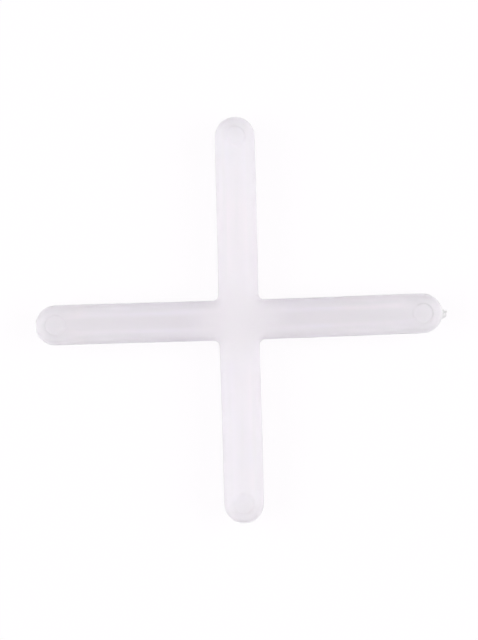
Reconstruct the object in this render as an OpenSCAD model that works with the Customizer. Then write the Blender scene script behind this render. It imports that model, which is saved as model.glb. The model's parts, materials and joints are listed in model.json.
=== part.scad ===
// Cross-shaped tile spacer, moulded in one piece from soft milky plastic.
// The arms stand in the joints where four tiles meet and keep them one arm width apart.
// It lies flat: the underside is at z = 0 and the middle of the cross is on the Z axis.

/* [Cross] */
// Width of every arm, which is the width of the tile joint
joint_w = 2; // [1.5:0.1:5]
// Length from the tip of one arm to the tip of the opposite one
span = 20.5; // [16:0.5:40]
// Height of the cross, from its underside to its top
height = 2.5; // [1.8:0.1:6]

/* [Edges] */
// Radius of the long edges, along the top and along the underside
edge_r = 0.4; // [0.1:0.05:0.7]
// Fillet in the inner corners between the arms, seen from above
corner_r = 0.3; // [0.1:0.05:1.5]

/* [Gate mark] */
// Diameter of the mark at the arm's tip, where the moulded part was torn off its runner
gate_d = 0.7; // [0.4:0.05:1]
// Diameter of the torn end of the mark
gate_end_d = 0.35; // [0.2:0.05:1]
// How far the mark stands out of the tip
gate_l = 0.35; // [0.1:0.05:0.8]

/* [Pin marks] */
// Diameter of the round marks in the top, where the mould's pins pushed the part out
pin_d = 1; // [0.6:0.05:1.1]
// Depth of the pin marks
pin_depth = 0.05; // [0.02:0.01:0.15]

/* [Hidden] */
$fn = 96;
milky_white = [0.93, 0.91, 0.94];

// Half the width of an arm, which is also the radius of its round tip
half_w = joint_w / 2;
// Distance from the middle of the cross to where a fillet ends and the straight arm begins
hub_half = half_w + corner_r;
// Distance from the middle of the cross to where the straight arm ends and the round tip begins
tip_x = span / 2 - half_w;
// How far a cutting tool runs past the surfaces that it cuts
cut_over = 0.5;
// How deep the root of the gate mark is set into the round tip
gate_root = 0.2;

// Section of an arm: width along X, height along Y, all four edges rounded
module arm_section() {
    translate([-half_w + edge_r, 0])
        square([joint_w - 2 * edge_r, height]);
    translate([-half_w, edge_r])
        square([joint_w, height - 2 * edge_r]);
    for (x = [edge_r - half_w, half_w - edge_r])
        for (y = [edge_r, height - edge_r])
            translate([x, y])
                circle(r = edge_r);
}

// One half of the section, on the side that a round tip sweeps through
module half_section() {
    intersection() {
        arm_section();
        square([half_w, height]);
    }
}

// The edge of the section seen from outside, turned about the axis of an inner corner
module corner_cutter() {
    rotate_extrude()
        difference() {
            translate([0, -cut_over])
                square([corner_r + edge_r, height + 2 * cut_over]);
            translate([corner_r + half_w, 0])
                arm_section();
        }
}

// Middle of the cross: a square block whose corners are hollowed into the fillets.
// Each side of the block ends in the arm's own section, so an arm carries on from it smoothly.
module hub() {
    difference() {
        translate([-hub_half, -hub_half, 0])
            cube([2 * hub_half, 2 * hub_half, height]);
        for (x = [-hub_half, hub_half])
            for (y = [-hub_half, hub_half])
                translate([x, y, 0])
                    corner_cutter();
    }
}

// One arm along +X: the straight part, then the same section turned through half a circle
module arm() {
    translate([hub_half, 0, 0])
        rotate([90, 0, 90])
            linear_extrude(tip_x - hub_half)
                arm_section();
    translate([tip_x, 0, 0])
        rotate([0, 0, -90])
            rotate_extrude(angle = 180)
                half_section();
}

// Short tapered mark at half height on the tip of the +X arm
module gate_mark() {
    translate([span / 2 - gate_root, 0, height / 2])
        rotate([0, 90, 0])
            cylinder(d1 = gate_d, d2 = gate_end_d, h = gate_root + gate_l);
}

// Cutter for the shallow round mark in the top, about the middle of an arm's round tip
module pin_mark() {
    translate([tip_x, 0, height - pin_depth])
        cylinder(d = pin_d, h = pin_depth + cut_over);
}

module spacer() {
    color(milky_white)
        difference() {
            union() {
                hub();
                for (turn = [0:90:270])
                    rotate([0, 0, turn])
                        arm();
                gate_mark();
            }
            for (turn = [0:90:270])
                rotate([0, 0, turn])
                    pin_mark();
        }
}

spacer();
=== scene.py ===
import json
import math
import bpy
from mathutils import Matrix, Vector


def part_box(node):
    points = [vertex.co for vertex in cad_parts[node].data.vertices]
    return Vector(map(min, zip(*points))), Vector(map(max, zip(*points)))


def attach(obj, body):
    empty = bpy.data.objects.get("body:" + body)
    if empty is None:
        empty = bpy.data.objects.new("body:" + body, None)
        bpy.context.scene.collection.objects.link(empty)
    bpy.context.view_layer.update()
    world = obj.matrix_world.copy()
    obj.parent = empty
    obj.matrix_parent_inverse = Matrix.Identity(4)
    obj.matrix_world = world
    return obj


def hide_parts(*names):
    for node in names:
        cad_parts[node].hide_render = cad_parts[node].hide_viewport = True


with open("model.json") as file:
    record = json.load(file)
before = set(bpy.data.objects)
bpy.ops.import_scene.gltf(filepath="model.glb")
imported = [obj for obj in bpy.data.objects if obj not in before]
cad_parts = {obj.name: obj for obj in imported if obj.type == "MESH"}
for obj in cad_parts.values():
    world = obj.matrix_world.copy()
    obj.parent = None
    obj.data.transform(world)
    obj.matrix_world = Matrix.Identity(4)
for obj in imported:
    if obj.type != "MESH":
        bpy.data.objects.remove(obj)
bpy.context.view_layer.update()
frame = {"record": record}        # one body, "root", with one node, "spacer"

mountPlace = {mount["name"]: Vector(mount["pos_m"]) for mount in frame["record"]["mounts"]}
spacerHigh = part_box("spacer")[1]

mm = 0.001
height = spacerHigh.z
halfSpan = spacerHigh.y                                   # the +Y arm has no gate mark
halfWidth = mountPlace["plus_x_arm_side_plus_y"].y        # tiles bear on the arms' sides
gateReach = spacerHigh.x - halfSpan


# Small helpers for node trees

def addNode(tree, kind, inputs=None, **settings):
    node = tree.nodes.new(kind)
    for name, value in settings.items():
        setattr(node, name, value)
    for key, value in (inputs or {}).items():
        socket = node.inputs[key]
        if isinstance(value, bpy.types.NodeSocket):
            tree.links.new(value, socket)
        else:
            socket.default_value = value
    return node


def calc(tree, operation, *values):
    return addNode(tree, "ShaderNodeMath", dict(enumerate(values)), operation=operation).outputs[0]


def vecCalc(tree, operation, *values):
    node = addNode(tree, "ShaderNodeVectorMath", operation=operation)
    for socket, value in zip(node.inputs, values):
        if isinstance(value, bpy.types.NodeSocket):
            tree.links.new(value, socket)
        else:
            socket.default_value = value
    return node.outputs["Vector"]


# The moulded cross

armSizes = {
    "edgeRadius": 0.4 * mm,      # long edges, top and underside
    "cornerRadius": 0.3 * mm,    # inner corners, seen from above
    "pinRadius": 0.5 * mm,       # round mark of the mould's pin, in the middle of the tip
    "pinEdge": 0.025 * mm,       # half the width of its soft edge
    "seamHalf": 0.05 * mm,       # half the width of the parting line
    "seamCrown": 0.4,            # its rounded crown is this share of the width
    "seamShoulder": 0.7,         # and starts at this share of the height
    "flatRows": 9,               # from the middle line of the arm to the long edge
    "edgeRows": 9,
    "lowRows": 2,                # on the side, below the gate mark's height
    "gateRows": 8,               # on the side, from there to the parting line
    "gateHalf": 0.42 * mm,       # rows lie closer together this far below the parting line
    "cornerSteps": 8,
    "straightSteps": 60,
    "pinSteps": 18,              # closer together beside the pin mark
    "pinLead": 1.2,              # from this many pin radii before its middle
    "tipTurns": (90, 27, 0),     # degrees, with closer steps round the gate mark
    "tipSteps": (11, 15),
}

reliefSizes = {
    "Arms": 4,
    "Weld": 0.0005 * mm,
    "Sink": 0.03 * mm,           # hollow that shrinkage leaves along the arms
    "Hub sink": 0.02 * mm,       # added where the arms cross
    "Hub reach": 1.6 * halfWidth,
    "Seam height": 0.018 * mm,
    "Seam least": 0.4,           # share of the height that the parting line keeps everywhere
    "Seam grain": 900.0,
    "Sway": 0.05 * mm,           # the soft arms don't lie quite straight
    "Sway pitch": 150.0,
    "Lean": 0.008,               # two of them lean towards each other, half a degree each
    "Pin depth": 0.05 * mm,
    "Gate length": gateReach,
    "Gate root": 0.32 * mm,      # radius where the mark leaves the tip
    "Gate end": 0.13 * mm,
    "Torn least": 0.45,          # share of the length that the torn end keeps everywhere
    "Torn share": 0.6,
    "Torn grain": 4200.0,
    "Seed": 3.7,
}


def spread(start, end, count):
    return [start + (end - start) * i / count for i in range(count)]


def sectionRows(s):
    # each row: fixed inset, share of the way to the middle line, height, seam weight, face sign
    flat = halfWidth - s["edgeRadius"]
    pinRing = [s["pinRadius"] - s["pinEdge"], s["pinRadius"] + s["pinEdge"]]
    rows = [(s["edgeRadius"], 1 - reach / flat, 0.0, 0.0, -1.0)
            for reach in sorted(spread(0, flat, s["flatRows"]) + pinRing)]
    for turn in spread(0, math.pi / 2, s["edgeRows"]):
        inset, z = 1 - math.sin(turn), 1 - math.cos(turn)
        rows.append((s["edgeRadius"] * inset, 0.0, s["edgeRadius"] * z, 0.0, 0.0))
    middle = height / 2
    heights = spread(s["edgeRadius"], middle - s["gateHalf"], s["lowRows"])
    heights += spread(middle - s["gateHalf"], middle - s["seamHalf"], s["gateRows"])
    rows += [(0.0, 0.0, z, 0.0, 0.0) for z in heights + [middle - s["seamHalf"]]]
    rows.append((0.0, 0.0, middle - s["seamHalf"] * s["seamCrown"], s["seamShoulder"], 0.0))
    lower = list(rows)
    rows.append((0.0, 0.0, middle, 1.0, 0.0))
    for inset, share, z, seam, face in reversed(lower):
        rows.append((inset, share, height - z, seam, -face))
    return rows


def armOutline(s):
    # each step: point on the arm's outline, outward direction, distance to the middle line
    hubHalf = halfWidth + s["cornerRadius"]
    tipX = halfSpan - halfWidth
    steps = []
    for i in range(s["cornerSteps"]):
        turn = math.radians(45 + 45 * i / s["cornerSteps"])
        out = Vector((math.cos(turn), math.sin(turn), 0))
        place = Vector((hubHalf, hubHalf, 0)) - out * s["cornerRadius"]
        steps.append((place, out, hubHalf / math.sin(turn) - s["cornerRadius"]))
    pinX = tipX - s["pinRadius"] * s["pinLead"]
    for x in spread(hubHalf, pinX, s["straightSteps"]) + spread(pinX, tipX, s["pinSteps"]):
        steps.append((Vector((x, halfWidth, 0)), Vector((0, 1, 0)), halfWidth))
    (sideTurn, gateTurn, endTurn), (coarse, fine) = s["tipTurns"], s["tipSteps"]
    for degrees in spread(sideTurn, gateTurn, coarse) + spread(gateTurn, endTurn, fine) + [endTurn]:
        turn = math.radians(degrees)
        out = Vector((math.cos(turn), math.sin(turn), 0))
        steps.append((Vector((tipX, 0, 0)) + out * halfWidth, out, halfWidth))
    flip = Vector((1, -1, 1))
    steps += [(place * flip, out * flip, reach) for place, out, reach in reversed(steps[:-1])]
    return steps


def armMesh(s):
    rows, steps = sectionRows(s), armOutline(s)
    tip = Vector((halfSpan - halfWidth, 0, 0))
    places, inward, sink, seam, fromPin = [], [], [], [], []
    for place, out, reach in steps:
        for inset, share, z, seamWeight, face in rows:
            depth = inset + share * (reach - s["edgeRadius"])
            places.append(place - out * depth + Vector((0, 0, z)))
            inward.append(share)
            sink.append(face * math.sin(share * math.pi / 2) ** 2)
            seam.append(seamWeight)
            fromPin.append((place - out * depth - tip).length)
    faces = []
    for j in range(len(steps) - 1):
        for i in range(len(rows) - 1):
            a = j * len(rows) + i
            faces.append((a, a + 1, a + 1 + len(rows), a + len(rows)))
    mesh = bpy.data.meshes.new("armWrap")
    mesh.from_pydata(places, [], faces)
    for name, values in (("inward", inward), ("sink", sink), ("seam", seam), ("fromPin", fromPin)):
        mesh.attributes.new(name, "FLOAT", "POINT").data.foreach_set("value", values)
    along = [value for place in places for value in place]
    mesh.attributes.new("armPlace", "FLOAT_VECTOR", "POINT").data.foreach_set("vector", along)
    return mesh


def crossTree(sizes):
    tree = bpy.data.node_groups.new("crossFromArm", "GeometryNodeTree")
    face = tree.interface
    face.new_socket("Geometry", in_out="INPUT", socket_type="NodeSocketGeometry")
    for name, value in sizes.items():
        kind = "NodeSocketInt" if isinstance(value, int) else "NodeSocketFloat"
        face.new_socket(name, in_out="INPUT", socket_type=kind)
    face.new_socket("Plastic", in_out="INPUT", socket_type="NodeSocketMaterial")
    face.new_socket("Geometry", in_out="OUTPUT", socket_type="NodeSocketGeometry")
    given = tree.nodes.new("NodeGroupInput").outputs

    # four arms about the middle, welded along the diagonals of the hub
    spots = addNode(tree, "GeometryNodeMeshLine", {"Count": given["Arms"], "Offset": (0, 0, 0)})
    index = tree.nodes.new("GeometryNodeInputIndex").outputs[0]
    turn = calc(tree, "MULTIPLY", index, calc(tree, "DIVIDE", math.tau, given["Arms"]))
    spin = addNode(tree, "ShaderNodeCombineXYZ", {"Z": turn})
    arms = addNode(tree, "GeometryNodeInstanceOnPoints", {
        "Points": spots.outputs[0], "Instance": given["Geometry"], "Rotation": spin.outputs[0]})
    real = addNode(tree, "GeometryNodeRealizeInstances", {"Geometry": arms.outputs[0]})
    welded = addNode(tree, "GeometryNodeMergeByDistance", {
        "Geometry": real.outputs[0], "Distance": given["Weld"]})

    position = tree.nodes.new("GeometryNodeInputPosition").outputs[0]
    normal = tree.nodes.new("GeometryNodeInputNormal").outputs[0]
    sink, seam, fromPin = [
        addNode(tree, "GeometryNodeInputNamedAttribute", {"Name": name}, data_type="FLOAT").outputs[0]
        for name in ("sink", "seam", "fromPin")]
    apart = addNode(tree, "ShaderNodeSeparateXYZ", {0: position}).outputs

    # shrinkage: a shallow hollow along each arm, deeper where the arms cross
    flatPlace = addNode(tree, "ShaderNodeCombineXYZ", {"X": apart["X"], "Y": apart["Y"]}).outputs[0]
    fromMiddle = addNode(tree, "ShaderNodeVectorMath", {0: flatPlace}, operation="LENGTH").outputs["Value"]
    nearHub = addNode(tree, "ShaderNodeMapRange", {
        "Value": fromMiddle, "From Min": given["Hub reach"], "From Max": 0.0,
        "To Min": 0.0, "To Max": given["Hub sink"]}, interpolation_type="SMOOTHSTEP").outputs[0]
    hollow = calc(tree, "MULTIPLY", sink, calc(tree, "ADD", given["Sink"], nearHub))

    # pin marks: a shallow round step in the top of each tip
    pin = addNode(tree, "ShaderNodeMapRange", {
        "Value": fromPin, "From Min": armSizes["pinRadius"] - armSizes["pinEdge"],
        "From Max": armSizes["pinRadius"] + armSizes["pinEdge"],
        "To Min": given["Pin depth"], "To Max": 0.0}).outputs[0]
    onTop = calc(tree, "GREATER_THAN", apart["Z"], height / 2)
    down = calc(tree, "ADD", hollow, calc(tree, "MULTIPLY", pin, onTop))
    sinkMove = addNode(tree, "ShaderNodeCombineXYZ", {
        "Z": calc(tree, "MULTIPLY", down, -1.0)}).outputs[0]

    # parting line: a fine uneven rib round the sides at half height
    seamNoise = addNode(tree, "ShaderNodeTexNoise", {
        "Vector": position, "W": given["Seed"], "Scale": given["Seam grain"], "Detail": 2.0},
        noise_dimensions="4D").outputs[0]
    seamSize = calc(tree, "MULTIPLY", given["Seam height"],
                    calc(tree, "ADD", seamNoise, given["Seam least"]))
    seamMove = addNode(tree, "ShaderNodeVectorMath", {
        0: normal, "Scale": calc(tree, "MULTIPLY", seam, seamSize)}, operation="SCALE").outputs["Vector"]

    # sway: the soft arms wander sideways by a few hundredths of a millimetre
    swayNoise = addNode(tree, "ShaderNodeTexNoise", {
        "Vector": flatPlace, "W": given["Seed"], "Scale": given["Sway pitch"], "Detail": 0.0},
        noise_dimensions="4D").outputs["Color"]
    swayMove = vecCalc(tree, "MULTIPLY", vecCalc(tree, "SUBTRACT", swayNoise, (0.5, 0.5, 0.5)), (1, 1, 0))
    swayMove = addNode(tree, "ShaderNodeVectorMath", {
        0: swayMove, "Scale": given["Sway"]}, operation="SCALE").outputs["Vector"]

    # lean: along each arm, the sideways move grows from the hub to the tip
    leanX, leanY = [
        calc(tree, "MULTIPLY", given["Lean"],
             calc(tree, "MAXIMUM", calc(tree, "SUBTRACT", apart[axis], halfWidth), 0.0))
        for axis in "YX"]
    leanMove = addNode(tree, "ShaderNodeCombineXYZ", {"X": leanX, "Y": leanY}).outputs[0]

    fineMoves = vecCalc(tree, "ADD", sinkMove, seamMove)
    moves = vecCalc(tree, "ADD", fineMoves, vecCalc(tree, "ADD", swayMove, leanMove))
    relief = addNode(tree, "GeometryNodeSetPosition", {"Geometry": welded.outputs[0], "Offset": moves})

    # gate mark: the torn stub that the runner left on the tip of the +X arm
    overMiddle = calc(tree, "SUBTRACT", apart["Z"], height / 2)
    sideways = calc(tree, "MULTIPLY", apart["Y"], apart["Y"])
    upwards = calc(tree, "MULTIPLY", overMiddle, overMiddle)
    fromGate = calc(tree, "SQRT", calc(tree, "ADD", sideways, upwards))
    stub = addNode(tree, "ShaderNodeMapRange", {
        "Value": fromGate, "From Min": given["Gate root"], "From Max": given["Gate end"],
        "To Min": 0.0, "To Max": given["Gate length"]}, interpolation_type="SMOOTHSTEP").outputs[0]
    tornNoise = addNode(tree, "ShaderNodeTexNoise", {
        "Vector": position, "W": given["Seed"], "Scale": given["Torn grain"], "Detail": 3.0},
        noise_dimensions="4D").outputs[0]
    kept = calc(tree, "ADD", calc(tree, "MULTIPLY", tornNoise, given["Torn share"]), given["Torn least"])
    torn = calc(tree, "MULTIPLY", stub, kept)
    onTip = calc(tree, "GREATER_THAN", apart["X"], halfSpan - halfWidth)
    gateMove = addNode(tree, "ShaderNodeCombineXYZ", {"X": calc(tree, "MULTIPLY", torn, onTip)}).outputs[0]
    gated = addNode(tree, "GeometryNodeSetPosition", {"Geometry": relief.outputs[0], "Offset": gateMove})

    smooth = addNode(tree, "GeometryNodeSetShadeSmooth", {"Geometry": gated.outputs[0]})
    whole = addNode(tree, "GeometryNodeRealizeInstances", {"Geometry": smooth.outputs[0]})
    dressed = addNode(tree, "GeometryNodeSetMaterial", {
        "Geometry": whole.outputs[0], "Material": given["Plastic"]})
    tree.links.new(dressed.outputs[0], tree.nodes.new("NodeGroupOutput").inputs[0])
    return tree


def makeCross(plastic):
    arm = bpy.data.objects.new("armWrap", armMesh(armSizes))
    bpy.context.collection.objects.link(arm)
    nodes = arm.modifiers.new("fourArms", "NODES")
    nodes.node_group = crossTree(reliefSizes)
    sockets = {item.name: item.identifier for item in nodes.node_group.interface.items_tree
               if item.in_out == "INPUT"}
    for name, value in reliefSizes.items():
        nodes[sockets[name]] = value
    nodes[sockets["Plastic"]] = plastic
    arm.update_tag()
    shaped = arm.evaluated_get(bpy.context.evaluated_depsgraph_get())
    mesh = bpy.data.meshes.new_from_object(shaped)
    mesh.name = "mouldedCross"
    bpy.data.objects.remove(arm)
    cross = bpy.data.objects.new("mouldedCross", mesh)
    bpy.context.collection.objects.link(cross)
    return cross


# Milky plastic

plasticLook = {
    "pink": (0.955, 0.84, 0.955, 1),
    "lilac": (0.895, 0.835, 0.99, 1),
    "crossing": (0.985, 0.875, 1.0, 1),
    # colour of the streaks, also used for the painted shade on the arms
    "streakAndShade": (0.84, 0.785, 0.87, 1),
    # white of the torn gate mark: partly real whitening where it tore, partly painted light against the
    # mark's own shade
    "torn": (1.0, 0.94, 1.0, 1),
    "patches": 300.0,                    # pink and lilac
    "patchEdge": (0.35, 0.65),
    "streaks": (110.0, 1900.0, 500.0),   # long and narrow, along the arms
    "streakEdge": (0.48, 0.75),
    "streakMost": 0.8,
    "rimShade": (0.0, 0.30),                  # painted shade under the long edges, of the X arms and of the Y arms, where it darkens the Y arms' lamp-lit rims
    "rimReach": (0.02, 0.22),            # as shares of the way from the rim to the middle line
    "coreShade": (0.80, 0.20),                # and painted shade along the middle of the arms, where the shrinkage hollow lies
    "coreReach": (0.28, 0.60),
    "paintedShadeLeast": 0.5,                    # the streaks break up the painted shade
    "tipDarkening": (7.5 * mm, 9.5 * mm),        # the X arms are painted darker all over towards their tips
    "hub": (0.8 * mm, 3.2 * mm),         # but not where the arms cross
    "stub": (10.15 * mm, 10.3 * mm),     # nor on the gate mark, which is white where it was torn and painted lighter against its own shade
    "roughness": 0.36,
    "roughnessSpread": 0.06,
    "satin": 1500.0,
    "ripples": 2400.0,
    "rippleDepth": 0.01 * mm,
    "rippleShow": 0.35,
    "refraction": 1.51,
    "gloss": 0.25,
    "clear": 0.5,
    "clouded": 0.28,                     # the torn gate mark is less clear
    "forward": 0.4,                      # the haze scatters more light onwards than back
    "bleed": (8.0, 7.5, 8.0),            # how far light travels in the plastic, in millimetres
}


def milkyPlastic(look):
    material = bpy.data.materials.new("milkyPlastic")
    material.use_nodes = True
    tree = material.node_tree
    tree.nodes.clear()
    place = tree.nodes.new("ShaderNodeTexCoord").outputs["Object"]
    cloud = addNode(tree, "ShaderNodeTexNoise", {"Vector": place, "Scale": look["patches"], "Detail": 2.0})
    patch = addNode(tree, "ShaderNodeMapRange", {
        "Value": cloud.outputs[0], "From Min": look["patchEdge"][0], "From Max": look["patchEdge"][1]})
    milk = addNode(tree, "ShaderNodeMix", {
        "Factor": patch.outputs[0], 6: look["lilac"], 7: look["pink"]}, data_type="RGBA")
    armPlace = addNode(tree, "ShaderNodeAttribute", attribute_name="armPlace").outputs["Vector"]
    flow = addNode(tree, "ShaderNodeTexNoise", {
        "Vector": vecCalc(tree, "MULTIPLY", armPlace, look["streaks"]), "Scale": 1.0, "Detail": 2.0})
    line = addNode(tree, "ShaderNodeMapRange", {
        "Value": flow.outputs[0], "From Min": look["streakEdge"][0], "From Max": look["streakEdge"][1],
        "To Max": look["streakMost"]})

    # painted shade: under the long edges, along the middle of the arms, and darker towards the tips of the
    # X arms
    inward = addNode(tree, "ShaderNodeAttribute", attribute_name="inward").outputs["Fac"]
    apart = addNode(tree, "ShaderNodeSeparateXYZ", {0: place}).outputs
    onYArm = calc(tree, "GREATER_THAN",
                  calc(tree, "ABSOLUTE", apart["Y"]), calc(tree, "ABSOLUTE", apart["X"]))
    rimShadeAmount, coreShadeAmount = [
        addNode(tree, "ShaderNodeMix", {"Factor": onYArm, 2: look[name][0], 3: look[name][1]}).outputs[0]
        for name in ("rimShade", "coreShade")]
    rimShade = addNode(tree, "ShaderNodeMapRange", {
        "Value": inward, "From Min": look["rimReach"][0], "From Max": look["rimReach"][1],
        "To Min": rimShadeAmount, "To Max": 0.0})
    coreShade = addNode(tree, "ShaderNodeMapRange", {
        "Value": inward, "From Min": look["coreReach"][0], "From Max": look["coreReach"][1],
        "To Max": coreShadeAmount})
    plan = vecCalc(tree, "MULTIPLY", place, (1, 1, 0))
    fromHub = addNode(tree, "ShaderNodeVectorMath", {0: plan}, operation="LENGTH").outputs["Value"]
    tipDarkening = addNode(tree, "ShaderNodeMapRange", {
        "Value": fromHub, "From Min": look["tipDarkening"][0], "From Max": look["tipDarkening"][1]},
        interpolation_type="SMOOTHSTEP").outputs[0]
    tipDarkening = calc(tree, "SUBTRACT", tipDarkening, onYArm)
    paintedShade = calc(tree, "MAXIMUM", rimShade.outputs[0], coreShade.outputs[0])
    broken = calc(tree, "ADD", flow.outputs[0], look["paintedShadeLeast"])
    paintedShade = calc(tree, "MULTIPLY", calc(tree, "MAXIMUM", paintedShade, tipDarkening), broken)

    # colour: milk with streaks and painted shade on the arms, plain milk where they cross, white on the
    # torn mark, which is also painted lighter there against its shade
    outward = addNode(tree, "ShaderNodeMapRange", {
        "Value": fromHub, "From Min": look["hub"][0], "From Max": look["hub"][1]},
        interpolation_type="SMOOTHSTEP").outputs[0]
    beforeStub = addNode(tree, "ShaderNodeMapRange", {
        "Value": fromHub, "From Min": look["stub"][1], "From Max": look["stub"][0]}).outputs[0]
    # random streaks together with the painted shade, left off where the arms cross
    streakAndShade = calc(tree, "MULTIPLY", calc(tree, "MAXIMUM", line.outputs[0], paintedShade), outward)
    milk = addNode(tree, "ShaderNodeMix", {
        "Factor": outward, 6: look["crossing"], 7: milk.outputs[2]}, data_type="RGBA")
    tint = addNode(tree, "ShaderNodeMix", {
        "Factor": streakAndShade, 6: milk.outputs[2], 7: look["streakAndShade"]}, data_type="RGBA")
    # the gate mark is whitened where torn and painted lighter against its shade
    tint = addNode(tree, "ShaderNodeMix", {
        "Factor": beforeStub, 6: look["torn"], 7: tint.outputs[2]}, data_type="RGBA")

    # surface: satin, with ripples too fine for the mesh
    fine = addNode(tree, "ShaderNodeTexNoise", {"Vector": place, "Scale": look["satin"], "Detail": 4.0})
    clear = addNode(tree, "ShaderNodeMapRange", {
        "Value": beforeStub, "To Min": look["clouded"], "To Max": look["clear"]}).outputs[0]
    rough = addNode(tree, "ShaderNodeMapRange", {
        "Value": fine.outputs[0], "To Min": look["roughness"] - look["roughnessSpread"],
        "To Max": look["roughness"] + look["roughnessSpread"]})
    ripple = addNode(tree, "ShaderNodeTexNoise", {
        "Vector": place, "Scale": look["ripples"], "Detail": 3.0})
    bump = addNode(tree, "ShaderNodeBump", {
        "Height": ripple.outputs[0], "Strength": look["rippleShow"], "Distance": look["rippleDepth"]})
    shader = addNode(tree, "ShaderNodeBsdfPrincipled", {
        "Base Color": tint.outputs[2], "Roughness": rough.outputs[0], "Normal": bump.outputs[0],
        "IOR": look["refraction"], "Specular IOR Level": look["gloss"], "Transmission Weight": clear,
        "Subsurface Weight": 1.0, "Subsurface Radius": look["bleed"], "Subsurface Scale": mm,
        "Subsurface Anisotropy": look["forward"]})
    output = tree.nodes.new("ShaderNodeOutputMaterial")
    tree.links.new(shader.outputs[0], output.inputs["Surface"])
    return material


plastic = milkyPlastic(plasticLook)
cross = makeCross(plastic)
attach(cross, "root")
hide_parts("spacer")
print("moulded cross:", len(cross.data.vertices), "points,", len(cross.data.polygons), "faces")


# White table, world, lamps and camera

tableLook = {
    "half": 0.6,
    "drop": 0.02 * mm,                   # a hair below the cross
    "white": (0.78, 0.78, 0.78, 1),
    "seen": (1, 0.984, 1, 1),
    "plain": 0.95,                       # the rest shows the cross's shadow
    "grain": 900.0,
    "grainDepth": 0.02 * mm,
    "grainShow": 0.05,
}


def seenDirectly(tree):
    path = tree.nodes.new("ShaderNodeLightPath").outputs
    seen = calc(tree, "MAXIMUM", path["Is Camera Ray"], path["Is Glossy Ray"])
    return calc(tree, "MAXIMUM", seen, path["Is Transmission Ray"])


def whiteTable(look):
    half, z = look["half"], -look["drop"]
    mesh = bpy.data.meshes.new("whiteTable")
    corners = [(-half, -half, z), (half, -half, z), (half, half, z), (-half, half, z)]
    mesh.from_pydata(corners, [], [(0, 1, 2, 3)])
    table = bpy.data.objects.new("whiteTable", mesh)
    bpy.context.collection.objects.link(table)
    material = bpy.data.materials.new("tableWhite")
    material.use_nodes = True
    tree = material.node_tree
    tree.nodes.clear()
    place = tree.nodes.new("ShaderNodeTexCoord").outputs["Object"]
    grain = addNode(tree, "ShaderNodeTexNoise", {"Vector": place, "Scale": look["grain"], "Detail": 2.0})
    bump = addNode(tree, "ShaderNodeBump", {
        "Height": grain.outputs[0], "Strength": look["grainShow"], "Distance": look["grainDepth"]})
    matt = addNode(tree, "ShaderNodeBsdfDiffuse", {"Color": look["white"], "Normal": bump.outputs[0]})
    glow = addNode(tree, "ShaderNodeEmission", {"Color": look["seen"], "Strength": 1.0})
    share = calc(tree, "MULTIPLY", seenDirectly(tree), look["plain"])
    both = addNode(tree, "ShaderNodeMixShader", {0: share, 1: matt.outputs[0], 2: glow.outputs[0]})
    output = tree.nodes.new("ShaderNodeOutputMaterial")
    tree.links.new(both.outputs[0], output.inputs["Surface"])
    mesh.materials.append(material)


lightSizes = {
    "world": 0.88,
    "dimmer": (0.0, 0.86, 0.38),     # how much darker the room is beyond the Y arms and overhead
    "side": {"away": 0.12, "up": 0.12, "size": 0.12, "power": 0.25},
    "tint": (1.0, 0.985, 1.0),
}


def whiteRoom(sizes):
    world = bpy.data.worlds.new("whiteRoom")
    bpy.context.scene.world = world
    world.use_nodes = True
    tree = world.node_tree
    tree.nodes.clear()
    seen = addNode(tree, "ShaderNodeBackground", {"Color": (1, 1, 1, 1), "Strength": 1.0})
    way = tree.nodes.new("ShaderNodeTexCoord").outputs["Generated"]
    darker = addNode(tree, "ShaderNodeVectorMath", {
        0: vecCalc(tree, "MULTIPLY", way, way), 1: sizes["dimmer"]},
        operation="DOT_PRODUCT").outputs["Value"]
    strength = calc(tree, "SUBTRACT", sizes["world"], darker)
    fill = addNode(tree, "ShaderNodeBackground", {"Color": (*sizes["tint"], 1), "Strength": strength})
    camera = tree.nodes.new("ShaderNodeLightPath").outputs["Is Camera Ray"]
    both = addNode(tree, "ShaderNodeMixShader", {0: camera, 1: fill.outputs[0], 2: seen.outputs[0]})
    output = tree.nodes.new("ShaderNodeOutputWorld")
    tree.links.new(both.outputs[0], output.inputs["Surface"])
    side = sizes["side"]
    for name, way in (("lampLeft", -1), ("lampRight", 1)):
        light = bpy.data.lights.new(name, "AREA")
        light.shape = "SQUARE"
        light.size = side["size"]
        light.energy = side["power"]
        lamp = bpy.data.objects.new(name, light)
        lamp.location = (way * side["away"], 0, side["up"])
        lamp.rotation_euler = (-lamp.location).to_track_quat("-Z", "Y").to_euler()
        lamp.visible_camera = lamp.visible_glossy = lamp.visible_transmission = False
        bpy.context.collection.objects.link(lamp)


cameraSizes = {
    "lens": 135,
    "frameWidth": 24 * mm,               # what the picture takes in across
    "aspect": 640 / 478,
    "roll": math.radians(1.7),           # the cross lies turned a little in the picture
}


def overheadCamera(sizes):
    camera = bpy.data.cameras.new("overhead")
    camera.lens = sizes["lens"]
    camera.clip_start = mm
    frameHeight = sizes["frameWidth"] * sizes["aspect"]
    away = frameHeight * camera.lens / camera.sensor_width
    holder = bpy.data.objects.new("overhead", camera)
    holder.location = (0, 0, height + away)
    holder.rotation_euler = (0, 0, -sizes["roll"])
    bpy.context.collection.objects.link(holder)
    bpy.context.scene.camera = holder


whiteTable(tableLook)
whiteRoom(lightSizes)
overheadCamera(cameraSizes)
bpy.context.scene.view_settings.view_transform = "Standard"
print("table, room and camera are in place")
